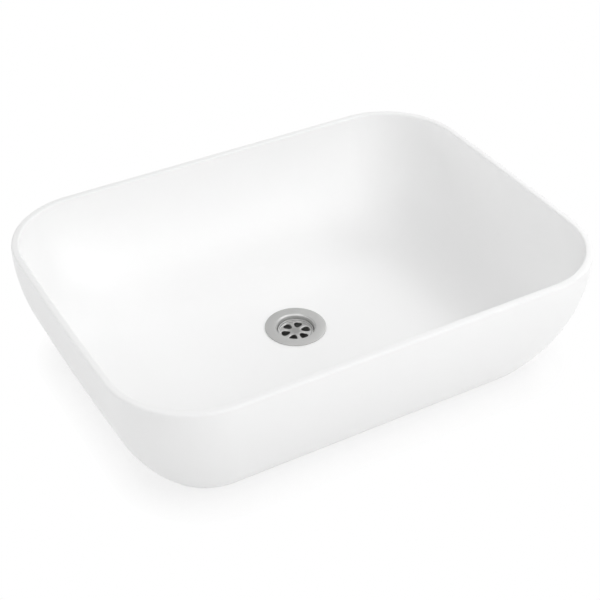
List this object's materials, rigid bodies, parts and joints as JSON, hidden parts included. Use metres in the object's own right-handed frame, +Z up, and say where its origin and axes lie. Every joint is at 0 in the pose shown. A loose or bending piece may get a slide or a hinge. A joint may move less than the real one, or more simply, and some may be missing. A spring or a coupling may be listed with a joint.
{
  "type": "countertop basin",
  "caption": "Rounded rectangular ceramic washbasin that stands on a countertop, with a thin rim, curved walls, a dished floor and a flanged grid waste whose strainer lifts out.",
  "frame": {"origin": "middle of the foot, on the plane where the foot meets the countertop", "axes": "+X along the basin's length, -Y towards its front, +Z up; the outlet hangs below the origin, through the countertop"},
  "size_m": [0.5, 0.37, 0.2098],
  "materials": {
    "glaze": "smooth white glaze with a soft gloss",
    "steel": "satin",
    "rubber": "matt",
    "nylon": "matt",
    "brass": "as machined"
  },
  "bodies": {
    "basin": {"basin_bowl": "glaze", "waste_body": "steel", "flange_gasket": "rubber", "cone_gasket": "rubber", "friction_washer": "nylon", "lock_nut": "brass", "tailpiece": "steel", "tailpiece_washer": "rubber"},
    "strainer": {"strainer": "steel"}
  },
  "joints": [
    {"name": "strainer_lift", "type": "slide", "parent": "basin", "child": "strainer", "axis": [0, 0, 1], "range_m": [0, 0.14]}
  ]
}
